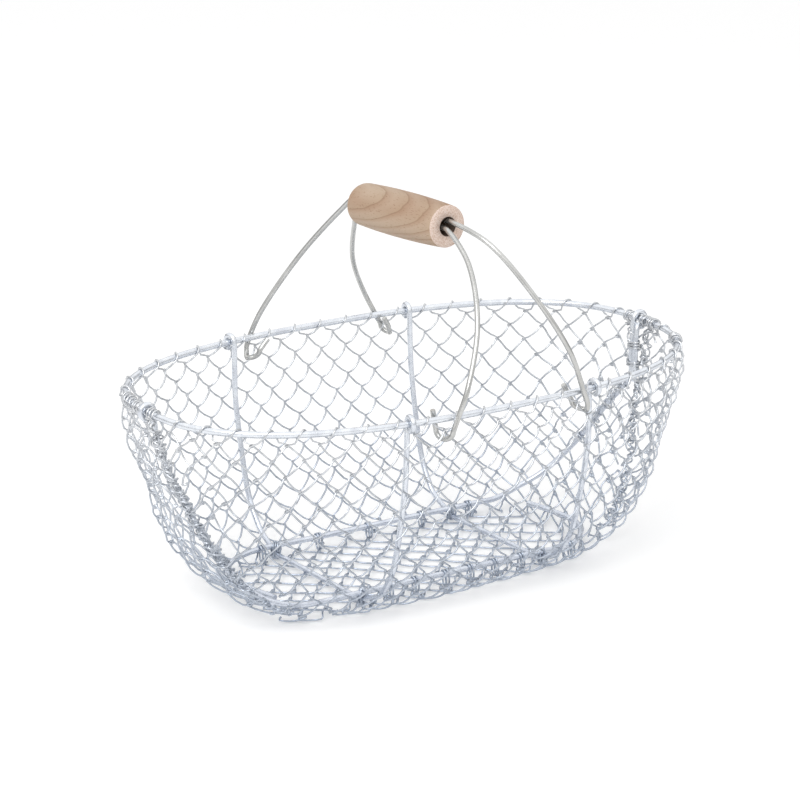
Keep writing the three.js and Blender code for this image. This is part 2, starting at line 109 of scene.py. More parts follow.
def noise(tree, place, size, detail, roughness=0.5):
    """Noise with features of about this size, in metres."""
    inputs = {"Vector": place, "Scale": 1 / size, "Detail": detail, "Roughness": roughness}
    return node(tree, "ShaderNodeTexNoise", **inputs).outputs["Fac"]


def mixed(tree, share, first, second, blend="MIX"):
    """Two colours, mixed or multiplied by a share of the second."""
    settings = {"data_type": "RGBA", "blend_type": blend}
    return node(tree, "ShaderNodeMix", settings, i0=share, i6=first, i7=second).outputs[2]


def maths(tree, operation, *values):
    """The result of a maths node."""
    inputs = {f"i{i}": value for i, value in enumerate(values)}
    return node(tree, "ShaderNodeMath", {"operation": operation}, **inputs).outputs[0]


def metal(name, colours, roughness, patch, scratch, depth, low="#ffffff"):
    """Drawn wire: colours in patches, painted shade towards the floor, and drawing marks in gloss and bump.
    """
    floor_shade_height, metallic = 140 * MM, 0.92
    material = bpy.data.materials.new(name)
    material.use_nodes = True
    tree = material.node_tree
    shader = tree.nodes["Principled BSDF"]
    place = node(tree, "ShaderNodeTexCoord").outputs["Object"]
    patches = ramp(tree, noise(tree, place, patch, 4.0, 0.62), *colours)
    marks = noise(tree, place, scratch, 3.0, 0.6)
    height = node(tree, "ShaderNodeSeparateXYZ", Vector=place).outputs["Z"]
    # Painted shade: the colours are multiplied by low at the floor, fading to white at the height of the
    # rim.
    painted_floor_shade = ramp(tree, mapped(tree, height, 0.0, floor_shade_height), (0.0, low), (1.0, "#ffffff"))
    tree.links.new(mixed(tree, 1.0, patches, painted_floor_shade, "MULTIPLY"), shader.inputs["Base Color"])
    gloss = mapped(tree, marks, 0.3, 0.7, roughness - 0.08, roughness + 0.1)
    tree.links.new(gloss, shader.inputs["Roughness"])
    bump = node(tree, "ShaderNodeBump", Height=marks, Strength=0.3, Distance=depth)
    tree.links.new(bump.outputs["Normal"], shader.inputs["Normal"])
    shader.inputs["Metallic"].default_value = metallic
    return material


# Hot-dip galvanised steel: pale bluish zinc with slightly darker spangles, dull uneven gloss and faint
# painted shade low down.
galvanised = metal(
    "hot_dip_galvanised_wire",
    [(0.32, "#d0d4dc"), (0.5, "#dee2e8"), (0.7, "#eceff3")],
    roughness=0.25, patch=9 * MM, scratch=0.6 * MM, depth=0.03 * MM, low="#f3f5fa",
)
# Galvanised netting wire: darker and greyer zinc in smaller patches, with painted shade that makes it bluer
# towards the floor.
netting = metal(
    "galvanised_netting_wire",
    [(0.3, "#bcbec1"), (0.5, "#cfd1d4"), (0.72, "#e2e4e6")],
    roughness=0.24, patch=4 * MM, scratch=0.5 * MM, depth=0.03 * MM, low="#dbe3ef",
)
# Bright drawn stainless rod of the bails: neutral grey, smoother, with long faint marks.
bright_rod = metal(
    "bright_drawn_rod",
    [(0.3, "#babab8"), (0.55, "#c6c6c4"), (0.75, "#d2d2d0")],
    roughness=0.24, patch=16 * MM, scratch=0.8 * MM, depth=0.04 * MM,
)


# The basket's form: an oval plan that narrows from the rim to the floor along one curved profile. Low down
# its ends are pulled aside, the right one to the far side and the left one to the near side.
RIM_HALF_LENGTH = 197 * MM
RIM_HALF_WIDTH = 114.5 * MM
RIM_HEIGHT = 141.5 * MM
RIM_SQUARENESS = 2.5
FLOOR_SQUARENESS = 3.4
FLOOR_SKEW = 0.12
RIM_WIRE = 4.4 * MM
# Half length, half width and height of the netting, from the row that hangs on the rim down to the floor.
PROFILE = MM * np.array([
    (198.5, 116, 134.5),
    (195.4, 114, 116),
    (185.2, 109, 84),
    (175.3, 101, 51.5),
    (165.7, 96, 35.5),
    (156, 87.4, 21.5),
    (139, 75.6, 9.4),
    (122, 62, 3.0),
])


def smooth_line(points, count):
    """A centripetal Catmull-Rom line through points, resampled to even steps."""
    points = np.asarray(points, float)
    ends = [2 * points[0] - points[1], 2 * points[-1] - points[-2]]
    padded = np.vstack([ends[0], points, ends[1]])
    line = []
    for p0, p1, p2, p3 in zip(padded, padded[1:], padded[2:], padded[3:]):
        chords = [max(np.linalg.norm(b - a), 1e-9) for a, b in ((p0, p1), (p1, p2), (p2, p3))]
        knots = np.cumsum([0] + [chord ** 0.5 for chord in chords])
        for t in np.linspace(knots[1], knots[2], 24, endpoint=False):
            a1 = p0 + (p1 - p0) * (t - knots[0]) / (knots[1] - knots[0])
            a2 = p1 + (p2 - p1) * (t - knots[1]) / (knots[2] - knots[1])
            a3 = p2 + (p3 - p2) * (t - knots[2]) / (knots[3] - knots[2])
            b1 = a1 + (a2 - a1) * (t - knots[0]) / (knots[2] - knots[0])
            b2 = a2 + (a3 - a2) * (t - knots[1]) / (knots[3] - knots[1])
            line.append(b1 + (b2 - b1) * (t - knots[1]) / (knots[2] - knots[1]))
    line = np.array(line + [points[-1]])
    run = np.concatenate([[0], np.cumsum(np.linalg.norm(np.diff(line, axis=0), axis=1))])
    even = np.linspace(0, run[-1], count)
    return np.stack([np.interp(even, run, line[:, i]) for i in range(3)], 1)


# The netting's surface as a table: LEVELS evenly spaced down the profile, and places along each level by
# their share of its quarter, up to REACH on both sides, since the sheets go on past the ends.
profile_line = smooth_line(PROFILE, 600)
profile_run = np.concatenate([[0], np.cumsum(np.hypot(*np.diff(profile_line[:, 1:], axis=0).T))])
DEPTH = float(profile_run[-1])
LEVELS = 121
profile_line = np.stack(
    [np.interp(np.linspace(0, DEPTH, LEVELS), profile_run, profile_line[:, i]) for i in range(3)], 1,
)
REACH = 1.5
SHARES = np.linspace(-REACH, REACH, 1201)


def superellipse(angle, half_length, half_width, power):
    """Places round an oval: angle 0 is the middle of the near side, and a quarter turn the right end."""
    bulge = lambda value: np.sign(value) * np.abs(value) ** (2 / power)
    return half_length * bulge(np.sin(angle)), -half_width * bulge(np.cos(angle))


def oval(half_length, half_width, power):
    """An oval at the shares of its quarter: 0 is the middle of the near side, 1 the right end."""
    angle = np.linspace(-REACH / 2 * math.pi, REACH / 2 * math.pi, 6001)
    x, y = superellipse(angle, half_length, half_width, power)
    run = np.concatenate([[0], np.cumsum(np.hypot(np.diff(x), np.diff(y)))])
    quarter = np.interp(math.pi / 2, angle, run) - np.interp(0, angle, run)
    share = (run - np.interp(0, angle, run)) / quarter
    return np.interp(SHARES, share, x), np.interp(SHARES, share, y), quarter


def squareness(depth):
    """The oval's power, by depth from 0 at the rim to 1 at the floor."""
    return RIM_SQUARENESS + (FLOOR_SQUARENESS - RIM_SQUARENESS) * depth


ovals = [oval(a, b, squareness(i / (LEVELS - 1))) for i, (a, b, _) in enumerate(profile_line)]
net_x, net_y = (np.array([one[i] for one in ovals]) for i in (0, 1))
quarters = np.array([one[2] for one in ovals])
skews = FLOOR_SKEW * np.linspace(0, 1, LEVELS) / profile_line[:, 0] ** 2
rim_x, rim_y, _ = oval(RIM_HALF_LENGTH, RIM_HALF_WIDTH, RIM_SQUARENESS)


def quarter_at(run):
    """How long a quarter of the netting is, at a run down from its top row."""
    return float(np.interp(run / DEPTH * (LEVELS - 1), np.arange(LEVELS), quarters))


def surface(side, along, run):
    """Points of the netting: side -1 near or 1 far, arc from the side's middle, run from the top row."""
    level = run / DEPTH * (LEVELS - 1)
    lower = np.clip(np.floor(level).astype(int), 0, LEVELS - 2)
    share = level - lower
    sides = []
    for i in (lower, lower + 1):
        column = (along / quarters[i] + REACH) / (2 * REACH) * (len(SHARES) - 1)
        left = np.clip(np.floor(column).astype(int), 0, len(SHARES) - 2)
        part = column - left
        x = net_x[i, left] * (1 - part) + net_x[i, left + 1] * part
        y = net_y[i, left] * (1 - part) + net_y[i, left + 1] * part
        sides.append(np.stack([x, skews[i] * x ** 3 - side * y, profile_line[i, 2]], 1))
    return sides[0] * (1 - share[:, None]) + sides[1] * share[:, None]


# The centre of a netting wire that lies on the ground
LOWEST = 0.66 * MM


def off_surface(side, points):
    """Points given by arc, run and distance out from the netting's surface."""
    along, run, out = np.asarray(points, float).T
    step = 2 * MM
    across = surface(side, along + step, run) - surface(side, along - step, run)
    down = surface(side, along, run + step) - surface(side, along, run - step)
    normal = np.cross(across, down) * side
    normal /= np.linalg.norm(normal, axis=1)[:, None]
    made = surface(side, along, run) + normal * out[:, None]
    made[:, 2] = np.maximum(made[:, 2], LOWEST)
    return made


def wire(name, lines, diameter, material, rings=4, closed=False, swell=(1,)):
    """Round wires along lists of points; swell is a pattern of shares of the thickness, point by point."""
    data = bpy.data.curves.new(name, "CURVE")
    data.dimensions = "3D"
    data.bevel_depth = diameter / 2
    data.bevel_resolution = rings
    data.use_fill_caps = True
    for line in lines:
        spline = data.splines.new("POLY")
        spline.points.add(len(line) - 1)
        for i, (target, point) in enumerate(zip(spline.points, line)):
            target.co = (*point, 1)
            target.radius = swell[i % len(swell)]
        spline.use_cyclic_u = closed
        spline.use_smooth = True
    data.materials.append(material)
    made = bpy.data.objects.new(name, data)
    bpy.context.scene.collection.objects.link(made)
    return made


def rim_out(at):
    """The level way out of the basket at a point of the rim."""
    slope = lambda value, half: math.copysign(abs(value / half) ** (RIM_SQUARENESS - 1), value) / half
    return Vector((slope(at.x, RIM_HALF_LENGTH), slope(at.y, RIM_HALF_WIDTH), 0)).normalized()


def rim_at(x=None, y=None, side=1):
    """A point of the rim's centre line and the way out of the basket there."""
    share = lambda value, half: (1 - abs(value / half) ** RIM_SQUARENESS) ** (1 / RIM_SQUARENESS)
    if x is None:
        at = Vector((side * RIM_HALF_LENGTH * share(y, RIM_HALF_WIDTH), y, RIM_HEIGHT))
    else:
        at = Vector((x, side * RIM_HALF_WIDTH * share(x, RIM_HALF_LENGTH), RIM_HEIGHT))
    return at, rim_out(at)


def round_rim(place, radius, degrees):
    """A point round the rim's wire: 0 is outside, 90 above and 180 inside."""
    at, out = place
    angle = math.radians(degrees)
    return at + out * radius * math.cos(angle) + Vector((0, 0, 1)) * radius * math.sin(angle)


def eye(place, diameter, slack=0.5 * MM):
    """An eye curled over the rim: up inside it, over, and back under it."""
    radius = RIM_WIRE / 2 + diameter / 2 + slack
    return [round_rim(place, radius, degrees) for degrees in range(-80, 181, 13)]


# Rim: one closed oval of round wire, bent over a former and butt-welded, then galvanised.
angles = np.linspace(0, 2 * math.pi, 240, endpoint=False)
around_x, around_y = superellipse(angles, RIM_HALF_LENGTH, RIM_HALF_WIDTH, RIM_SQUARENESS)
rim_line = [(x, y, RIM_HEIGHT) for x, y in zip(around_x, around_y)]
rim = wire("rim_wire", [rim_line], RIM_WIRE, galvanised, rings=6, closed=True)
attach(rim, "basket")
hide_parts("rim")


# Ribs: two wires bent across the basket inside the netting, an eye over the rim at both ends of each.
RIB_WIRE = 3.8 * MM
RIB_FLOOR = 5.6 * MM
RIB_INSET = 4.2 * MM
LEFT_RIB_X, RIGHT_RIB_X = -71.3 * MM, 72.8 * MM
RIB_DEPTHS = (0.2, 0.34, 0.48, 0.6, 0.7, 0.79, 0.87)


def rib_line(x):
    """A rib across the basket at x: each half comes down from its eye, a little inside the netting."""
    def half(side):
        points = eye(rim_at(x=x, side=side), RIB_WIRE)
        for depth in RIB_DEPTHS:
            level = round(depth * (LEVELS - 1))
            a, b, z = profile_line[level]
            power = squareness(depth)
            width = b * (1 - abs(x / a) ** power) ** (1 / power)
            run = profile_line[level + 2] - profile_line[level - 2]
            run = run / math.hypot(run[1], run[2])
            y = skews[level] * x ** 3 + side * (width + run[2] * RIB_INSET)
            points.append(Vector((x, y, max(z - run[1] * RIB_INSET, RIB_FLOOR))))
        return points
    floor = [Vector((x, y * MM, RIB_FLOOR)) for y in (-50, -40, 0, 40, 50)]
    return smooth_line(half(-1) + floor + half(1)[::-1], 220)


for name, x in (("rib_left", LEFT_RIB_X), ("rib_right", RIGHT_RIB_X)):
    rib = wire(name + "_wire", [rib_line(x)], RIB_WIRE, galvanised)
    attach(rib, "basket")
    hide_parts(name)


# Rails and end stays: two equal wires turned about. Each hangs by an eye from one end of the rim, comes
# down inside the netting, runs along the floor's edge on the ribs and bends round the floor's other end.
RAIL_WIRE = 4 * MM
RAIL_Z = 11 * MM
RAIL_Y = 54 * MM
LEFT_STAY_Y, RIGHT_STAY_Y = 3.2 * MM, 4.5 * MM
near_route = eye(rim_at(y=LEFT_STAY_Y, side=-1), RAIL_WIRE) + [Vector(p) * MM for p in (
    (-192.3, 0.5, 126), (-184.4, -3, 97.5), (-174.3, -22, 65), (-154.3, -37, 30), (-141, -46, 18),
    (-122.6, -51, 11.5), (-108.5, -54, 11), (-56.6, -54, 11), (4, -54, 11), (64, -54, 11), (95.6, -54, 11),
    (113, -43, 11), (128, -19, 11), (128, 10, 11), (124, 33, 11),
)]
near_rail = wire("near_rail_wire", [smooth_line(near_route, 260)], RAIL_WIRE, galvanised)
right_eye = rim_at(y=RIGHT_STAY_Y, side=1)
beside = right_eye[1].cross(Vector((0, 0, 1)))
tail_apart = RAIL_WIRE + 0.3 * MM
turn_radius = 5.1 * MM
tail_top = round_rim(right_eye, 5.5 * MM, 180)
down_tail = Vector((0, 0, -1)) - right_eye[1] * 0.12 + beside * 0.1
tail = [tail_top + down_tail * z * MM + beside * tail_apart for z in (42, 26, 12)]
turn = [
    round_rim(right_eye, turn_radius, degrees) + beside * tail_apart * share
    for degrees, share in ((-145, 1), (-105, 0.9), (-70, 0.6), (-35, 0.3))
]
# The turn from the tail takes the place of the eye's first seven points.
far_route = tail + turn + eye(right_eye, RAIL_WIRE)[7:] + [tail_top + down_tail * z * MM for z in (21, 40)]
far_route += [Vector(p) * MM for p in (
    (179, 14, 81.5), (168, 34, 51), (149.3, 48.5, 26.5), (131.6, 55.5, 16), (109.6, 54, 11), (95.6, 54, 11),
    (33.6, 54, 11), (-36.5, 54, 11), (-88.5, 54, 11), (-113, 43, 11), (-128, 19, 11), (-128, -10, 11),
    (-124, -31, 11),
)]
far_rail = wire("far_rail_wire", [smooth_line(far_route, 280)], RAIL_WIRE, galvanised)
for rail, stands_for in ((near_rail, "near_rail_and_left_stay"), (far_rail, "far_rail_and_right_stay")):
    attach(rail, "basket")
    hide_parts(stands_for)


# Bails: two bright rods, each hooked under the rim at both sides and run through the grip's bore.
BAIL_WIRE = 3.5 * MM
HOOK_TURN = 5.6 * MM
HOOK_OUT = 5.1 * MM
HOOK_DROP = 8.2 * MM
GRIP_CENTRE = Vector((-3.2, 0, 244.7)) * MM
PLAN_ANGLE = math.radians(3)
TILT = math.radians(2)
grip_axis = Vector((
    -math.sin(PLAN_ANGLE) * math.cos(TILT),
    math.cos(PLAN_ANGLE) * math.cos(TILT),
    -math.sin(TILT),
))
across = grip_axis.cross(Vector((0, 0, 1))).normalized()
above = across.cross(grip_axis).normalized()


def bail_hook(x, side, leg_shift, tail_shift, tail_height):
    """A hook under the rim, in mm: its leg and tail lean along X; the tail's height is from the rim's."""
    place = rim_at(x=x * MM, side=side)
    points = []
    for degrees in range(0, -181, -20):
        angle = math.radians(degrees)
        lean = math.cos(angle) / 2
        point = place[0] + place[1] * (HOOK_OUT - HOOK_TURN + HOOK_TURN * math.cos(angle))
        point.x += (leg_shift * lean if lean > 0 else -tail_shift * lean) * MM
        point.z += -HOOK_DROP + HOOK_TURN * math.sin(angle)
        points.append(point)
    end = points[-1] + Vector((tail_shift / 2 * MM, 0, 0))
    end.z = RIM_HEIGHT + tail_height * MM
    start = points[0] + Vector((leg_shift / 2 * MM, 0, 0))
    start.z = RIM_HEIGHT + 1 * MM
    return [start] + points + [end]


def bail_line(far_in_bore, near_in_bore, far_leg, far_hook, near_leg, near_hook):
    """A bail, in mm: where it leaves the bore, aside and up of the axis, and its legs, z above the rim."""
    mouth = 51
    bore = []
    for y in (mouth, 45, 0, -45, -mouth):
        part = (y + mouth) / (2 * mouth)
        aside, rise = np.array(near_in_bore) + (np.array(far_in_bore) - near_in_bore) * part
        bore.append(GRIP_CENTRE + (grip_axis * y + across * aside + above * rise) * MM)
    rim_top = RIM_HEIGHT / MM
    legs = [[Vector((x, y, z + rim_top)) * MM for x, y, z in leg] for leg in (far_leg, near_leg)]
    return smooth_line(far_hook[::-1] + legs[0] + bore + legs[1] + near_hook, 300)


bail_left = wire("bail_left_rod", [bail_line(
    (-1.95, 3.66), (-3.3, -0.8),
    [(-45.5, 111, 19), (-25, 95, 57.5), (-10.6, 66, 93)],
    bail_hook(-57.6, 1, 7, 13, -1),
    [(-4.4, -77, 87), (-16.4, -105, 54), (-33.4, -119, 18)],
    bail_hook(-47.4, -1, 8, -5, 5),
)], BAIL_WIRE, bright_rod, rings=6)
bail_right = wire("bail_right_rod", [bail_line(
    (1.95, 3.66), (1.0, 3.2),
    [(44.6, 121, 14), (26.5, 108, 44), (8, 76, 83)],
    bail_hook(59.4, 1, -10, -8, -1),
    [(8.6, -82, 99), (27.6, -107, 66), (46.6, -119, 30)],
    bail_hook(66.1, -1, -7, -14, 4),
)], BAIL_WIRE, bright_rod, rings=6)
for bail, stands_for in ((bail_left, "bail_left"), (bail_right, "bail_right")):
    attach(bail, "basket")
    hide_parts(stands_for)


# Netting: spirals of thin wire, each hooked into the one above. A row's wire rises on the side one looks at
# and falls behind, with a tight bend at each end of the stroke, and the first row is wound over the rim.
# BEND is the radius of a bend and BULGE how far a stroke bows out. The seams lie SEAM_TOP from the ends at
# the top, and SEAM_PULL draws them on towards the floor.
NET_WIRE = 1.3 * MM
PITCH = 21 * MM
WALL_ROWS = 14
ROW = DEPTH / WALL_ROWS
BEND = 1.45 * MM
BULGE = 2.3 * MM
FIRST_RISE = 5 * MM
SEAM_TOP = -5 * MM
SEAM_PULL = -50 * MM
MIDDLE_X = 3.6 * MM
random.seed(7)


def sway(side, points):
    """Slow, uneven shifts of the mesh of a millimetre or so, stronger towards the ends and the floor.

    They are waves over the netting's surface, so that wires which meet are shifted alike.
    """
    a, r, out = np.asarray(points, float).T / MM
    pull = 0.45 + 1.3 * np.clip((np.abs(a) - 90) / 120, 0, 1) + 0.5 * np.clip(r / 148, 0, 1)
    sideways = 0.9 * np.sin(0.071 * a + 0.13 * r + side) + 0.6 * np.sin(0.19 * a - 0.11 * r + 2.1 * side)
    downwards = 0.7 * np.sin(0.083 * a - 0.09 * r + side) + 0.45 * np.sin(0.23 * a + 0.17 * r)
    downwards *= np.clip(r / 8, 0, 1)
    outwards = 0.8 * np.sin(0.05 * a + 0.07 * r + side)
    return MM * np.stack([a + pull * sideways, r + pull * downwards, out + pull * outwards], 1)


def seam_at(run):
    """How far the near sheet goes past the basket's ends: below 0, so the seams lie on the near side."""
    return SEAM_TOP + SEAM_PULL * max(run / (130 * MM), 0) ** 1.6


def bend(column, run, way, radius=BEND):
    """The bend at the foot (way -1) or head (way 1) of a stroke, hooked round the one it meets at run."""
    centre = run + way * (radius - NET_WIRE / 2)
    turns = [math.radians(way * degrees) for degrees in (15, 55, 90, 125, 165)][::way]
    shift = 0.9 * MM * way
    steps = [shift * (math.degrees(turn) - 90 * way) / 75 for turn in turns]
    return [
        (column + step, centre - radius * math.sin(turn), radius * math.cos(turn))
        for turn, step in zip(turns, steps)
    ]


def rising(column, foot, head, bulge, shares=(0.25, 0.5, 0.75), start=0.0):
    """Points of one stroke, half a pitch wide, that bulges out of the netting's surface."""
    half = PITCH / 2
    return [
        (
            column + (start + share) * half,
            foot + (head - foot) * share,
            BEND * math.copysign(1, bulge) + bulge * math.sin(math.pi * share),
        )
        for share in shares
    ]


def wall_row(side, row):
    """One row's wire, from seam to seam of a sheet; the bulges grow flatter towards the floor."""
    foot, head = (row + 1) * ROW, row * ROW
    reach = quarter_at(foot) - side * seam_at(foot) - 1.5 * MM
    column = MIDDLE_X - math.ceil(reach / PITCH) * PITCH - (row % 2) * PITCH / 2
    points = []
    while column < reach - PITCH / 3:
        if column >= -reach:
            bulge = BULGE * random.uniform(0.7, 1.25) * (1 - 0.45 * row / (WALL_ROWS - 1))
            points += bend(column, foot, -1)
            points += rising(column, foot, head, bulge)
            points += bend(column + PITCH / 2, head, 1)
            points += rising(column, head, foot, -0.5 * MM, (0.33, 0.67), 1)
        column += PITCH
    points = sway(side, points)
    points[:, 2] *= -side
    return off_surface(side, points)


def round_rim_at(side, along, degrees):
    """A point of the first row's wire on the rim, moved aside where it would meet another wire's eye."""
    eye_room = 3.6 * MM
    share = along / quarters[0]
    x, y = np.interp(share, SHARES, rim_x), -side * np.interp(share, SHARES, rim_y)
    at = Vector((x, y, RIM_HEIGHT))
    for eye_at in EYES:
        apart = at - eye_at
        if apart.length < eye_room:
            at = eye_at + apart.normalized() * eye_room
    return np.array(round_rim((at, rim_out(at)), (RIM_WIRE + NET_WIRE) / 2 + 0.15 * MM, degrees))


EYES = [rim_at(x=x, side=side)[0] for x in (LEFT_RIB_X, RIGHT_RIB_X) for side in (-1, 1)]
EYES += [rim_at(y=LEFT_STAY_Y, side=-1)[0], right_eye[0]]


def first_row(side):
    """The top row's wire: it bends round the row below, rises a little and goes over the rim and back."""
    reach = quarter_at(0) - side * seam_at(0) - 2 * MM
    column = MIDDLE_X - math.ceil(reach / PITCH) * PITCH - PITCH / 2
    points = []
    while column < reach - PITCH / 3:
        if column >= -reach:
            hooked = bend(column, 0, -1) + rising(column, 0, -FIRST_RISE, 0.6 * MM, (0.4,))
            hooked = sway(side, hooked)
            hooked[:, 2] *= -side
            points += list(off_surface(side, hooked))
            for i, degrees in enumerate(range(-25, 206, 23)):
                along = column + (0.34 + 0.032 * i) * PITCH
                points.append(round_rim_at(side, along, 90 - side * (degrees - 90)))
            falling = sway(side, rising(column, -FIRST_RISE, 0, -0.5 * MM, (0.6,), 1))
            falling[:, 2] *= -side
            points += list(off_surface(side, falling))
        column += PITCH
    return points


# The finished basket was dipped in zinc, which has gathered in the bends where two wires hook. The pattern
# follows the points of a row: foot bend, stroke, head bend, stroke.
KNOT = (1, 1.3, 1.45, 1.3, 1)
ZINC = KNOT + (1, 1, 1) + KNOT + (1, 1)
for name, side, word in (("netting_near", -1, "near"), ("netting_far", 1, "far")):
    rows = [wall_row(side, row) for row in range(WALL_ROWS)]
    net = wire(name, rows, NET_WIRE, netting, rings=1, swell=ZINC)
    over_rim = wire(name + "_first_row", [first_row(side)], NET_WIRE, netting, rings=1)
    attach(over_rim, "basket")
    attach(net, "basket")
    for cad_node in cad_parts:
        if cad_node.startswith("net_" + word):
            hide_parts(cad_node)


# Floor of the netting: the same fabric carried on across the basket, flattened where it stands on the
# ground, and stretched at both ends to reach the foot of the walls.
FLOOR_HALF = PROFILE[-1][1]
FLOOR_LENGTH = PROFILE[-1][0]
FLOOR_ROWS = 12
FLOOR_RUN = 80 * MM
FLOOR_STRETCH = 6 * MM
FLOOR_BEND = 1 * MM
floor_lines = []
for row in range(FLOOR_ROWS):
    head, foot = (FLOOR_HALF * (2 * (row + i) / FLOOR_ROWS - 1) for i in (0, 1))
    off_middle = min(abs((head + foot) / 2) / (FLOOR_HALF + 2 * MM), 1)
    reach = FLOOR_LENGTH * (1 - off_middle ** FLOOR_SQUARENESS) ** (1 / FLOOR_SQUARENESS)
    column = MIDDLE_X - math.ceil(reach / PITCH) * PITCH - (row % 2) * PITCH / 2
    points = []
    while column < reach - PITCH / 6:
        if column >= -reach - PITCH / 3:
            sag = -1.2 * MM * random.uniform(0.3, 1.3)
            points += bend(column, foot, -1, FLOOR_BEND)
            points += rising(column, foot, head, 0.5 * MM)
            points += bend(column + PITCH / 2, head, 1, FLOOR_BEND)
            points += rising(column, head, foot, sag, start=1)
        column += PITCH
    # The waves of the shifts are taken far down the netting, where they are strong.
    along, run, out = (sway(0, np.add(points, [0, FLOOR_RUN, 0])) - [0, FLOOR_RUN, 0]).T
    run = run + skews[-1] * along ** 3
    along = along + FLOOR_STRETCH * (along / reach) ** 3
    floor_lines.append(np.stack([along, run, np.maximum(2.3 * MM - 0.9 * out, LOWEST)], 1))
floor_net = wire("netting_floor", floor_lines, NET_WIRE, netting, rings=1)
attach(floor_net, "basket")
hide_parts("net_floor")


# Lacing: thin wire wound by hand down both seams and the stays beside them, and round the rim there. It is
# uneven and tangled: the turns differ in width and slope and cross each other.
def uneven(count, low, high, step):
    """Smooth random values, one for each of count places, with a new aim every few places."""
    aims = [random.uniform(low, high) for _ in range(count // step + 2)]
    return np.interp(np.arange(count), np.arange(len(aims)) * step, aims)


def tangle(line, turns, low, high):
    """An uneven coil, low to high mm in radius, bunched in some places and open in others."""
    points_a_turn = 11
    count = turns * points_a_turn
    line = np.array(smooth_line(line, count))
    pace = np.cumsum(uneven(count, 0.35, 1.65, 9))
    angle = 2 * math.pi * turns * pace / pace[-1] + random.uniform(0, 6)
    tangent = np.gradient(line, axis=0)
    aside = np.cross(tangent, [0.3, 0.2, 1])
    aside /= np.linalg.norm(aside, axis=1)[:, None]
    outward = np.cross(aside, tangent)
    outward /= np.linalg.norm(outward, axis=1)[:, None]
    radius = uneven(count, low, high, 5) * MM
    made = line + aside * (radius * np.cos(angle) + uneven(count, -1.2, 1.2, 17) * MM)[:, None]
    made += outward * (0.8 * radius * np.sin(angle))[:, None] + tangent * uneven(count, -3, 3, 4)[:, None]
    made[:, 2] = np.clip(made[:, 2], LOWEST, RIM_HEIGHT + 3 * MM)
    return made


# Each winding is its turns and its least and greatest radius in mm.
SEAM_WINDINGS = ((24, 0.8, 2.6), (19, 1.2, 3.4), (13, 1.8, 4.4), (7, 2.5, 5.5))
LEFT_WINDINGS = ((21, 2.6, 3.8), (16, 2.6, 5.0), (10, 2.8, 6.5))
RIGHT_WINDINGS = ((9, 2.7, 3.6), (9, 2.8, 5.0))
lacings = []
for hand in (-1, 1):
    run = np.linspace(-3 * MM, DEPTH - 20 * MM, 24)
    seam = hand * np.array([quarter_at(r) + seam_at(r) for r in run])
    middle = off_surface(-1, np.stack([seam, run, np.full(len(run), -0.3 * MM)], 1))
    for turns, low, high in SEAM_WINDINGS:
        lacings.append(tangle(middle, turns, low, high))
# The near rail's route begins with the eye's 21 points; the left stay's lacing is beside the next four.
left_stay = near_route[21:25]
right_stay = [tail_top + down_tail * z * MM for z in (4, 21, 40)]
right_stay += [Vector(p) * MM for p in ((179, 14, 81.5), (168, 34, 51))]
for stay, windings in ((left_stay, LEFT_WINDINGS), (right_stay, RIGHT_WINDINGS)):
    for turns, low, high in windings:
        lacings.append(tangle([tuple(point) for point in stay], turns, low, high))
# Round the rim: from one place to another beside the stay's eye, in mm, with a turn every 3.4 mm.
for side, stay_y, start, finish in (
    (-1, LEFT_STAY_Y, 4, 36), (-1, LEFT_STAY_Y, -13, -4),
    (1, RIGHT_STAY_Y, -20, -4), (1, RIGHT_STAY_Y, -62, -50), (1, RIGHT_STAY_Y, 4, 15),
):
    turns = round((finish - start) / 3.4)
    count = turns * 12
    pace = np.cumsum(uneven(count, 0.2, 1.8, 11))
    along = stay_y + (start + (finish - start) * pace / pace[-1]) * MM
    radius = (RIM_WIRE + NET_WIRE) / 2 + 0.2 * MM + uneven(count, 0, 1.1, 6) * MM
    lacings.append([
        round_rim(rim_at(y=y, side=side), r, 360 * i / 12) for i, (y, r) in enumerate(zip(along, radius))
    ])
lacing = wire("seam_lacing", lacings, NET_WIRE, netting, rings=1)
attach(lacing, "basket")


# Ties: thin wire wound a few turns round two wires that lie together, and the net laced to both rails.
def ties_round(line, aside, up, half_aside, half_up, turns, pitch):
    """A coil round a place: line is its middle, and aside and up are the two ways across it."""
    on = Vector(aside).cross(Vector(up)).normalized()
    return [
        Vector(line) + on * pitch * (i / 12 - turns / 2)
        + Vector(aside).normalized() * half_aside * math.cos(i * math.pi / 6)
        + Vector(up) * half_up * math.sin(i * math.pi / 6)
        for i in range(round(turns * 12) + 1)
    ]


ties = []
for x in (LEFT_RIB_X, RIGHT_RIB_X):
    for side in (-1, 1):
        middle = (x, side * RAIL_Y, (RAIL_Z + RIB_FLOOR) / 2)
        ties.append(ties_round(middle, (1, side, 0), (0, 0, 1), 3.2 * MM, 5.5 * MM, 2.5, 1.5 * MM))
        ties.append(ties_round(middle, (1, -side, 0), (0, 0, 1), 3.4 * MM, 5.7 * MM, 1.2, 1.5 * MM))
for side in (-1, 1):
    for step in range(-4, 5):
        x = MIDDLE_X + (step + 0.5 * (side < 0)) * PITCH
        if min(abs(x - LEFT_RIB_X), abs(x - RIGHT_RIB_X)) < 8 * MM or (side > 0 and step % 2):
            continue
        middle = (x + random.uniform(-2, 2) * MM, side * RAIL_Y, 7.9 * MM)
        ties.append(ties_round(middle, (0, 1, 0), (0, 0, 1), 3.1 * MM, 5.9 * MM, 2.2, 2.2 * MM))
pair = tail_top + beside * tail_apart / 2
for down, turns in ((17, 3.2), (30, 2.5)):
    middle = pair + down_tail * down * MM
    ties.append(ties_round(middle, beside, right_eye[1], 5.1 * MM, 3.1 * MM, turns, 2.0 * MM))
tie_wire = wire("tie_wires", ties, NET_WIRE, netting, rings=2)
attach(tie_wire, "basket")
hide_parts("stay_tail_binding")


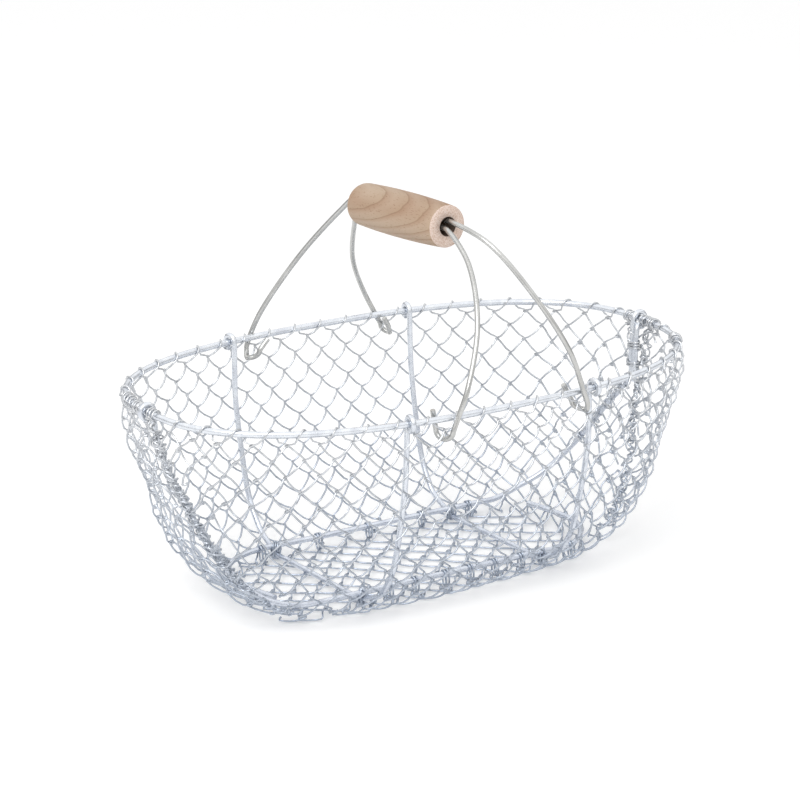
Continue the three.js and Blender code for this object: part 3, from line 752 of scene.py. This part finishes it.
# Grip: a turned beech barrel, left unvarnished; its far end is rounded and its near end sawn square.
# Its profile is radius and place along the axis, in mm.
BORE_RADIUS = 6.3
END_RADIUS = 14
BELLY = 1.5
HALF = 48
ROUNDING = 7


def barrel(y):
    """The grip's radius, which swells from its ends to its middle."""
    return END_RADIUS + BELLY * (1 - (y / HALF) ** 2)


profile = [(BORE_RADIUS, -HALF), (END_RADIUS - 0.8, -HALF), (END_RADIUS, 0.8 - HALF)]
profile += [(barrel(y), y) for y in range(-42, 38, 6)]
shoulder_at = HALF - ROUNDING
for turn in [math.radians(degrees) for degrees in range(0, 91, 15)]:
    radius = barrel(shoulder_at) - ROUNDING * (1 - math.cos(turn))
    profile.append((radius, shoulder_at + ROUNDING * math.sin(turn)))
profile.append((BORE_RADIUS, HALF))
mesh = bmesh.new()
outline = [mesh.verts.new((radius * MM, 0, y * MM)) for radius, y in profile]
edges = [mesh.edges.new(pair) for pair in zip(outline, outline[1:] + outline[:1])]
bmesh.ops.spin(
    mesh, geom=outline + edges, cent=(0, 0, 0), axis=(0, 0, 1), dvec=(0, 0, 0),
    angle=2 * math.pi, steps=64, use_merge=True, use_duplicate=False,
)
bmesh.ops.recalc_face_normals(mesh, faces=mesh.faces)
turned = grip_axis.to_track_quat("Z", "Y").to_matrix().to_4x4()
bmesh.ops.transform(mesh, matrix=Matrix.Translation(GRIP_CENTRE) @ turned, verts=mesh.verts)
for face in mesh.faces:
    face.smooth = True
grip_mesh = bpy.data.meshes.new("grip_barrel")
mesh.to_mesh(grip_mesh)
mesh.free()
grip = bpy.data.objects.new("grip_barrel", grip_mesh)
bpy.context.scene.collection.objects.link(grip)
beech = bpy.data.materials.new("turned_beech")
beech.use_nodes = True
tree = beech.node_tree
shader = tree.nodes["Principled BSDF"]
place = node(tree, "ShaderNodeTexCoord").outputs["Object"]
in_grip = node(
    tree, "ShaderNodeMapping", {"vector_type": "TEXTURE"},
    Vector=place, Location=GRIP_CENTRE, Rotation=turned.to_euler(),
).outputs["Vector"]


def off_line(x, y):
    """The distance from the line that x and y, two sockets, are measured from."""
    flat = node(tree, "ShaderNodeCombineXYZ", X=x, Y=y).outputs[0]
    return node(tree, "ShaderNodeVectorMath", {"operation": "LENGTH"}, i0=flat).outputs["Value"]


# Growth rings are cylinders round a heart line behind the grip, leaning against its length, so that they
# come out as nested arches on the side that was nearest the bark, which is the side that the camera sees.
HEART_OFF = 30 * MM
HEART_LEAN = 0.16
RING_WIDTH = 4.4 * MM
RING_WAVE = 2.6 * MM
bark = turned.to_3x3().inverted() @ (Vector((0, 0, 0.35)) - look)
bark.z = 0
bark = bark.normalized()
parts = node(tree, "ShaderNodeSeparateXYZ", Vector=in_grip).outputs
from_heart = []
for axis, value in (("X", bark.x), ("Y", bark.y)):
    leaned = maths(tree, "MULTIPLY_ADD", parts["Z"], HEART_LEAN * value, HEART_OFF * value)
    from_heart.append(maths(tree, "ADD", parts[axis], leaned))
stretched = node(tree, "ShaderNodeMapping", Vector=in_grip, Scale=(1.0, 1.0, 0.22)).outputs["Vector"]
waves = noise(tree, stretched, 14 * MM, 2.0)
warped = maths(tree, "MULTIPLY_ADD", waves, RING_WAVE, off_line(*from_heart))
grain = ramp(
    tree, maths(tree, "FRACT", maths(tree, "DIVIDE", warped, RING_WIDTH)),
    (0.0, "#bea78f"), (0.55, "#c2ab95"), (0.88, "#b79c84"), (0.95, "#a68a71"), (1.0, "#bea78f"),
)
# Short dark rays lie along the grain, a millimetre or two long.
fleck_place = node(tree, "ShaderNodeMapping", Vector=in_grip, Scale=(1.0, 1.0, 0.2)).outputs["Vector"]
flecks = noise(tree, fleck_place, 0.55 * MM, 1.0)
flecked = mixed(tree, mapped(tree, flecks, 0.64, 0.72), grain, linear("#d6c5b5"), "MULTIPLY")
tone = ramp(tree, noise(tree, stretched, 22 * MM, 1.0), (0.35, "#e9dcd4"), (0.6, "#ffffff"))
side_grain = mixed(tree, 0.8, flecked, tone, "MULTIPLY")
# The sawn near end shows paler, pinker end grain.
at_end = maths(tree, "LESS_THAN", parts["Z"], (0.85 - HALF) * MM)
pores = noise(tree, in_grip, 0.7 * MM, 2.0)
end_grain = ramp(tree, pores, (0.35, "#cdb09c"), (0.5, "#dfc8ba"), (0.65, "#e8d6cb"))
outside = mixed(tree, at_end, side_grain, end_grain)
# Painted shade: the inside of the drilled bore is painted dark.
bore_edge, bore_wall = (BORE_RADIUS + 0.4) * MM, (BORE_RADIUS + 0.05) * MM
in_bore = mapped(tree, off_line(parts["X"], parts["Y"]), bore_edge, bore_wall)
painted_bore_shade = ramp(tree, pores, (0.35, "#3b2a20"), (0.65, "#5a4636"))
tree.links.new(mixed(tree, in_bore, outside, painted_bore_shade), shader.inputs["Base Color"])
shader.inputs["Roughness"].default_value = 0.6
grain_bump = node(tree, "ShaderNodeBump", Height=flecks, Strength=0.25, Distance=0.1 * MM)
tree.links.new(grain_bump.outputs["Normal"], shader.inputs["Normal"])
grip_mesh.materials.append(beech)
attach(grip, "grip")
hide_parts("grip")


# Floor and light: a white ground that keeps the basket's soft shadow, and plain daylight from all round.
bpy.ops.mesh.primitive_plane_add(size=12, location=(0, 0, -0.0005))
ground = bpy.context.object
ground.name = "ground"
white = bpy.data.materials.new("white_ground")
white.use_nodes = True
tree = white.node_tree
shader = tree.nodes["Principled BSDF"]
shader.inputs["Base Color"].default_value = linear("#f6f6f6")
shader.inputs["Roughness"].default_value = 0.9
# To the camera and in the metal it is lifted towards white.
LIFT = 0.2
path = node(tree, "ShaderNodeLightPath").outputs
seen = maths(tree, "MAXIMUM", path["Is Camera Ray"], path["Is Glossy Ray"])
tree.links.new(maths(tree, "MULTIPLY", seen, LIFT), shader.inputs["Emission Strength"])
shader.inputs["Emission Color"].default_value = linear("#ffffff")
ground.data.materials.append(white)

# The room: white to the camera, a little duller as light. Metal sees it bright above and behind the camera,
# and dark beyond the basket.
ROOM_DARK = 0.38
ROOM_LIGHT = 0.8
ROOM_ABOVE = 1.2
world = bpy.data.worlds.new("studio")
bpy.context.scene.world = world
world.use_nodes = True
tree = world.node_tree
background = tree.nodes["Background"]
path = node(tree, "ShaderNodeLightPath").outputs
way = node(tree, "ShaderNodeTexCoord").outputs["Generated"]
beyond = node(tree, "ShaderNodeVectorMath", {"operation": "DOT_PRODUCT"}, i0=way, i1=(look.x, look.y, 0))
towards = mapped(tree, beyond.outputs["Value"], 0.35, -0.6, ROOM_DARK, ROOM_LIGHT)
height = node(tree, "ShaderNodeSeparateXYZ", Vector=way).outputs["Z"]
above_it = mapped(tree, height, 0.12, 0.42, ROOM_DARK, ROOM_ABOVE)
to_metal = maths(tree, "MAXIMUM", towards, above_it)
to_objects = mapped(tree, path["Is Glossy Ray"], 0.0, 1.0, ROOM_LIGHT, to_metal)
strength = mapped(tree, path["Is Camera Ray"], 0.0, 1.0, to_objects, 1.0)
tree.links.new(strength, background.inputs["Strength"])
background.inputs["Color"].default_value = linear("#ffffff")

# One large soft lamp, high at the left of the camera.
key = bpy.data.objects.new("key", bpy.data.lights.new("key", "AREA"))
key.data.energy = 20
key.data.size = 1.2
key.location = (-1.4, -1.0, 1.9)
key.rotation_euler = (Vector((0, 0, 0.1)) - key.location).to_track_quat("-Z", "Y").to_euler()
bpy.context.scene.collection.objects.link(key)
bpy.context.scene.view_settings.view_transform = "Standard"
